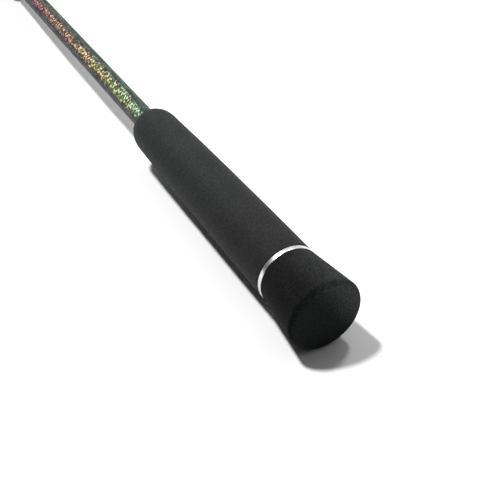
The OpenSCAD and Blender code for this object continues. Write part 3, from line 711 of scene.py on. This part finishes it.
    kb = math.asin(1.35 / SR)
    th2 = ring_angles(168, [EDGE - 0.006, EDGE + 0.006, PI - kb - 0.004, PI - kb + 0.004])
    v, f = shell(fine_xs(x0, x0 + 30, 0.6, [x0 + 2, x0 + 14, x0 + 23, x0 + 24], 0.5), th2, slide_out, slide_in)
    add("sliding_hood_shell", v, f, HOOD, "sliding_hood", ["sliding_hood"], sharp=32)
    v, f = shell(fine_xs(x0 + 1.5, x0 + 5.5, 0.5, (), 0.28), ring_angles(168), band(x0 + 1.5, x0 + 5.5), lambda x, t: hood_radius(t, 0.02))
    add("sliding_hood_trim", v, f, BAND, "sliding_hood", ["sliding_hood_band"])

    # lock nut with finger flutes, and a stepped bore with one groove
    n0, nr = HX + 24.3, 11.4
    th3 = np.linspace(0, 2 * PI, 400, endpoint=False)

    def nut_out(x, t):
        u = x - n0
        p = interp(u, [(0, nr - 0.9), (0.15, nr - 0.6), (0.6, nr - 0.35), (0.88, nr - 0.35), (2.52, nr - 0.35), (2.62, nr - 0.2), (2.9, nr), (13.8, nr), (14.6, nr - 0.25), (15.0, nr - 0.7), (15.2, nr - 1.1)])
        rr = np.full(t.shape, p)
        if u > 3.3:
            grow = min(1.0, (u - 3.3) / 0.9)
            d = (t * 20 / (2 * PI) % 1.0 - 0.5) * 2 * PI / 20
            rc = nr + 0.55
            s = 1.0 - (rc * np.sin(d)) ** 2
            flute = np.where(s > 0, rc * np.cos(d) - np.sqrt(np.maximum(s, 0)), nr + 1)
            rr = np.minimum(rr, flute + (1 - grow) * 0.6)
        return rr

    def nut_in(x, t):
        u = x - n0
        base = interp(u, [(0, SR + 1.2), (0.25, SR + 1.03), (2.2, SR + 1.03), (2.5, SR + 1.28), (3.5, SR + 1.28), (4.0, SR + 1.03), (5.98, SR + 1.03), (6.0, SR + 0.06), (14.9, SR + 0.06), (15.2, SR + 0.35)])
        return np.full(t.shape, base)

    v, f = shell(fine_xs(n0, n0 + 15.2, 0.35, [n0 + 6.0], 0.4), th3, nut_out, nut_in)
    add("lock_nut_body", v, f, HOOD, "lock_nut", ["lock_nut"], sharp=34)
    v, f = lathe(rounded([(n0 + 0.92, nr + 0.1, 0.15), (n0 + 2.48, nr + 0.1, 0.15), (n0 + 2.48, nr - 0.34, 0.02), (n0 + 0.92, nr - 0.34, 0.02)]), 144)
    add("lock_nut_trim", v, f, RING, "lock_nut", ["lock_nut_band"])


# ---------------------------------------------------------------- foregrip, wraps, hook keeper
def wrap_shell(x0, x1, thick, feet=(), step=0.8):
    """A wound and epoxied sleeve: thick over the blank, with a raised ridge over each foot (xa, xb, width, height)."""
    def ro(x, t):
        a = (t + PI) % (2 * PI) - PI
        base = blank_r(x)
        d = min(x - x0, x1 - x)
        e = math.sqrt(max(0.0, 1 - (1 - min(d / 2.0, 1.0)) ** 2))
        rr = np.full(t.shape, base + 0.03 + (thick - 0.03) * e)
        for xa, xb, w, h0, h1 in feet:
            lo, hi = min(xa, xb), max(xa, xb)
            s = (x - xa) / (xb - xa)
            hh = h0 + (h1 - h0) * min(max(s, 0.0), 1.0)
            k = 1.0 if lo <= x <= hi else max(0.0, 1 - (lo - x if x < lo else x - hi) / 1.5)
            k = k * k * (3 - 2 * k)
            rr = rr + hh * k * e * np.exp(-(a * base / (0.62 * w)) ** 4 / 1.6)
        return rr
    xs = fine_xs(x0, x1, step, (), 2.0)
    return shell(xs, np.linspace(0, 2 * PI, 96, endpoint=False), ro, lambda x, t: blank_r(x) + 0.015)


def build_fore():
    fx0, fx1 = SEAT1, SEAT1 + 52.0
    r0, r1 = 11.2, 7.0
    prof = [(fx0 + 0.02, butt_r(fx0) + 0.02), (fx0 + 0.02, r0 - 0.9)]
    prof += [(fx0 + 1.2 * (1 - math.cos(a)), r0 - 1 + math.sin(a)) for a in np.linspace(0.2, PI / 2, 8)]
    prof += [(fx0 + 1.2 + 50.8 * s, r1 + (r0 - r1) * (1 + math.cos(PI * s ** 1.1)) / 2) for s in np.linspace(0.02, 0.995, 60)]
    prof += [(fx1 - 0.02, r1 - 0.1), (fx1 - 0.02, butt_r(fx1) + 0.02)]
    v, f = lathe(prof, 160, wobble=lambda x, t: uneven(0.03, 0.9)(x, t) if fx0 + 2 < x < fx1 - 2 else 0.0)
    add("foregrip_foam", v, f, EVA, "butt_section", ["foregrip"])
    v, f = lathe(rounded([(fx1 + 0.01, 7.2, 0.2), (fx1 + 1.5, 7.1, 0.6), (fx1 + 3, 5.45, 0.3), (fx1 + 3, butt_r(fx1) + 0.02, 0.02), (fx1 + 0.01, butt_r(fx1) + 0.02, 0.02)]), 128)
    add("winding_check", v, f, RING, "butt_section", ["foregrip_ring"])
    v, f = wrap_shell(fx1 + 3.05, fx1 + 23.0, 0.5)
    add("fore_thread_wrap", v, f, THREAD, "butt_section", ["fore_wrap"])
    # hook keeper: one bent wire with flattened feet
    kx = fx1 + 38.0
    b = butt_r(kx) + 0.6
    arc = [(kx + 3.7 * math.cos(a), -(b + 2.8 + 3.7 * math.sin(a))) for a in np.linspace(0, PI, 25)]
    pts = [(kx + 10.7, -(butt_r(kx + 10.7) + 0.38)), (kx + 7.5, -b), (kx + 4.6, -b), (kx + 3.85, -(b + 0.3)), (kx + 3.7, -(b + 1.2))] + arc
    pts += [(kx - 3.7, -(b + 1.2)), (kx - 3.85, -(b + 0.3)), (kx - 4.6, -b), (kx - 7.5, -b), (kx - 10.7, -(butt_r(kx - 10.7) + 0.38))]
    wires = []
    size = [(1.5, 0.35), (1.15, 0.75)] + [(1.0, 1.0)] * (len(pts) - 4) + [(1.15, 0.75), (1.5, 0.35)]
    rows = smooth([(x, y, 0.0, w, h) for (x, y), (w, h) in zip(pts, size)], 1)
    v, f = sweep([r[:3] for r in rows], [(r[3], r[4]) for r in rows], (0, 0, 1), 16, 1.0)
    add("hook_keeper_wire", v, f, BAND, "butt_section", ["hook_keeper"])
    a = wrap_shell(kx - 12.5, kx - 4.6, 0.28, [(kx - 4.6, kx - 10.7, 1.3, 0.95, 0.35)], 0.5)
    c = wrap_shell(kx + 4.6, kx + 12.5, 0.28, [(kx + 4.6, kx + 10.7, 1.3, 0.95, 0.35)], 0.5)
    v, f = merge(a, c)
    add("hook_keeper_thread", v, f, THREAD, "butt_section", ["hook_keeper_wraps"])


# ---------------------------------------------------------------- guides
GUIDES = [
    (905, 7.0, 8.5, 9.5, 20.0, 19, 2), (1190, 5.0, 6.1, 7.1, 14.0, 15, 2), (1405, 3.7, 4.6, 5.4, 9.6, 12, 2), (1585, 2.8, 3.6, 4.3, 7.8, 11, 1),
    (1735, 2.3, 3.0, 3.6, 6.8, 10, 1), (1865, 2.1, 2.7, 3.2, 6.2, 9, 1), (1985, 2.1, 2.7, 3.2, 6.0, 9, 1)]


def insert_profile(x, r0, r1, half):
    """Section of a polished ceramic ring: full and round towards the line, flat towards its seat."""
    cr, ar = (r0 + r1) / 2, (r1 - r0) / 2
    out = []
    for a in np.linspace(0, 2 * PI, 28, endpoint=False):
        c, s = math.cos(a), math.sin(a)
        out.append((x + half * math.copysign(abs(s) ** (1.0 if c > 0 else 0.6), s), cr - ar * (c if c > 0 else -abs(c) ** 0.4)))
    return out


def build_guide(i, g):
    x, r0, r1, ro, rise, foot, feet = g
    body = "butt_section" if i == 1 else "tip_section"
    t = min(1.2, ro * 0.22)
    h = blank_r(x) + rise
    lx = rise * 0.62
    w = min(3.4, ro * 0.5)
    parts = [lathe(rounded([(x - 0.7 * t, ro, 0.28 * t), (x + 0.7 * t, ro, 0.28 * t), (x + 0.7 * t, r1 + 0.02, 0.12 * t), (x - 0.7 * t, r1 + 0.02, 0.12 * t)], steps=4), 96, centre=(-h, 0.0))]
    a = math.radians(52)

    def bx(u):
        return blank_r(x + u)

    for s in (-1, 1):
        rows = [
            (0.0, -(h - (ro - 0.5 * t) * math.cos(a)), s * (ro - 0.5 * t) * math.sin(a), 1.9 * t, 0.85 * t),
            (lx * 0.5, -((h - (ro - t) * math.cos(a)) * 0.5 + (bx(lx) + 0.55) * 0.5), s * (ro * 0.79 * 0.5 + w * 0.13), 1.6 * t, 0.8 * t),
            (lx * 0.98, -(bx(lx) + 0.62), s * w * 0.27, 1.5 * t, 0.75 * t),
            (lx + 2.0, -(bx(lx + 2) + 0.50), s * w * 0.25, 0.55 * w, 0.7 * t),
            (lx + foot * 0.5, -(bx(lx + foot * 0.5) + 0.36), s * w * 0.24, 0.55 * w, 0.5 * t),
            (lx + foot, -(bx(lx + foot) + 0.20), s * w * 0.16, 0.36 * w, 0.22 * t)]
        rows = smooth(rows, 2)
        parts.append(sweep([(x + r[0], r[1], r[2]) for r in rows], [(r[3], r[4]) for r in rows], (0, 0.15, s), 14))
    if feet == 2:
        rows = smooth([
            (0.0, -(h - ro + 0.3 * t), 0.0, 3.2 * t, 0.8 * t),
            (-lx * 0.5, -((h - ro) * 0.5 + (bx(-lx) + 0.6) * 0.5), 0.0, 2.0 * t, 0.9 * t),
            (-lx * 0.98, -(bx(-lx) + 0.65), 0.0, 1.9 * t, 0.85 * t),
            (-lx - 2.0, -(bx(-lx - 2) + 0.52), 0.0, w, 0.7 * t),
            (-lx - foot * 0.5, -(bx(-lx - foot * 0.5) + 0.36), 0.0, w, 0.5 * t),
            (-lx - foot, -(bx(-lx - foot) + 0.20), 0.0, 0.6 * w, 0.22 * t)], 2)
        parts.append(sweep([(x + r[0], r[1], r[2]) for r in rows], [(r[3], r[4]) for r in rows], (0, 0, 1), 14))
    v, f = merge(*parts)
    add(f"guide_{i}_stamped_frame", v, f, FRAME, body, [f"guide_{i}_frame"], sharp=50)
    v, f = lathe(insert_profile(x, r0, r1, t * 1.05), 96, centre=(-h, 0.0))
    add(f"guide_{i}_ring", v, f, CERAMIC, body, [f"guide_{i}_insert"], sharp=60)
    node = f"guide_{i}_wraps" if f"guide_{i}_wraps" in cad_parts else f"guide_{i}_wrap"
    wraps = []
    for s in ([1, -1] if feet == 2 else [1]):
        xa, xb = x + s * (lx + 1.6), x + s * (lx + foot + 2.5)
        wraps.append(wrap_shell(min(xa, xb), max(xa, xb), 0.28, [(xa, x + s * (lx + foot), w, 0.85, 0.3)], 0.7))
    v, f = merge(*wraps)
    add(f"guide_{i}_thread", v, f, THREAD, body, [node])


def build_tip():
    prof = [(TX0, butt_r(TX0) + 0.12), (TX0, tip_r(TX0) - 0.2), (TX0 + 0.2, tip_r(TX0))]
    prof += [(xx, tip_r(xx)) for xx in np.linspace(TX0 + 2, BUTT, 16)] + [(xx, tip_r(xx)) for xx in np.linspace(BUTT + 3, TIP_END, 200)]
    prof += [(TIP_END, 0.42), (BUTT + 10, tip_r(BUTT + 10) - 0.95), (BUTT + 2, butt_r(BUTT) + 0.06), (BUTT, butt_r(BUTT) + 0.06), (TX0 + 0.4, butt_r(TX0) + 0.06)]
    v, f = lathe(prof, 96)
    add("tip_blank_tube", v, f, CARBON, "tip_section", ["tip_blank"])
    v, f = wrap_shell(TX0 + 0.5, TX0 + 37.0, 0.48)
    add("ferrule_thread", v, f, THREAD, "tip_section", ["ferrule_wrap"])
    # tip-top: tube, ring and braces
    tx, th = LEN, 3.1
    tube = lathe(rounded([(tx - 19, tip_r(tx - 19) + 0.42, 0.12), (tx - 4.2, tip_r(tx - 4.2) + 0.42, 0.3), (tx - 4.2, 0.25, 0.1), (tx - 4.9, 0.25, 0.02),
                          (tx - 4.9, tip_r(tx - 4.95) + 0.02, 0.02), (tx - 19, tip_r(tx - 19) + 0.02, 0.02)], steps=4), 64)
    ring = lathe(rounded([(tx - 0.6, 2.75, 0.2), (tx + 0.6, 2.75, 0.2), (tx + 0.6, 2.22, 0.08), (tx - 0.6, 2.22, 0.08)], steps=4), 72, centre=(-th, 0.0))
    parts = [tube, ring]
    for s in (-1, 1):
        rows = smooth([(tx, -th, s * 2.45, 0.9, 0.7), (tx - 4.5, -(th * 0.55), s * 1.95, 0.85, 0.65), (tx - 10.0, -0.5, s * 1.35, 0.8, 0.6)], 2)
        parts.append(sweep([r[:3] for r in rows], [(r[3], r[4]) for r in rows], (0, 1, 0), 12))
        rows = smooth([(tx, -(th - 2.0), s * 1.35, 0.8, 0.6), (tx - 3.0, -(th - 2.9), s * 1.15, 0.75, 0.6), (tx - 6.0, -0.35, s * 1.1, 0.7, 0.6)], 2)
        parts.append(sweep([r[:3] for r in rows], [(r[3], r[4]) for r in rows], (0, 1, 0), 12))
    v, f = merge(*parts)
    add("tip_top_stamped_frame", v, f, FRAME, "tip_section", ["tip_top_frame"], sharp=50)
    v, f = lathe(insert_profile(tx, 1.6, 2.2, 0.78), 72, centre=(-th, 0.0))
    add("tip_top_ring", v, f, CERAMIC, "tip_section", ["tip_top_insert"], sharp=60)
    v, f = wrap_shell(tx - 27, tx - 19.05, 0.38, (), 0.5)
    add("tip_top_thread", v, f, THREAD, "tip_section", ["tip_top_wrap"])


build_butt()
build_seat()
build_fore()
for i, g in enumerate(GUIDES, 1):
    build_guide(i, g)
build_tip()


# ---------------------------------------------------------------- floor and light
def ease(x, a, b):
    t = min(max((x - a) / (b - a), 0.0), 1.0)
    return t * t * (3 - 2 * t)


def build_stage():
    """A white card that the butt cap, the first guide and the tip-top touch, with a shallow dip under the bare blank."""
    slope = 11.85 / 2099.5
    m = Mat("board")
    soft = m.noise(3.0, 3.0, 0.5)
    m.to("Base Color", m.mix(m.remap(soft, 0.3, 0.7, 0.0, 1.0), (0.650, 0.650, 0.650), (0.668, 0.668, 0.668)))
    m.set(Roughness=0.9, Specular_IOR_Level=0.1)
    me = bpy.data.meshes.new("board")
    xs = [-25000.0, -400.0] + list(np.linspace(0.0, 900.0, 61)) + [2600.0, 25000.0]
    sag = lambda x: 5.0 * ease(x, 50.0, 210.0) * (1.0 - ease(x, 255.0, 365.0))
    verts = [(x * MM, y, (slope * (x - 1.1) - 14.62 - sag(x)) * MM) for x in xs for y in (-25.0, 25.0)]
    me.from_pydata(verts, [], [(2 * i, 2 * i + 2, 2 * i + 3, 2 * i + 1) for i in range(len(xs) - 1)])
    me.polygons.foreach_set("use_smooth", [True] * len(me.polygons))
    me.materials.append(m.mat)
    ob = bpy.data.objects.new("board", me)
    scene.collection.objects.link(ob)
    return ob


def sun(name, travel, strength, angle, colour=(1, 1, 1)):
    d = bpy.data.lights.new(name, "SUN")
    d.energy = strength
    d.angle = angle
    d.color = colour
    o = bpy.data.objects.new(name, d)
    o.rotation_mode = "QUATERNION"
    o.rotation_quaternion = Vector(travel).normalized().to_track_quat("-Z", "Y")
    o.location = (0, 0, 2)
    scene.collection.objects.link(o)
    return o


build_stage()
sun("key", (-0.44, -0.28, -1.0), 4.7, 0.12)
sun("fill", (-0.45, 0.56, -1.0), 1.12, 0.12)
sun("window", (-0.30, 0.85, -0.44), 1.06, 2.15)
sun("wall", (-0.80, 0.50, -0.44), 0.79, 2.15)
sun("ceiling", (-0.10, 0.10, -1.0), 0.15, 1.6)
world = bpy.data.worlds.new("studio")
scene.world = world
world.use_nodes = True
bg = world.node_tree.nodes["Background"]
bg.inputs[0].default_value = (1.0, 1.0, 1.0, 1.0)
bg.inputs[1].default_value = 0.03
scene.view_settings.view_transform = "Standard"
scene.view_settings.look = "None"
scene.view_settings.exposure = 0.0
scene.view_settings.gamma = 1.0
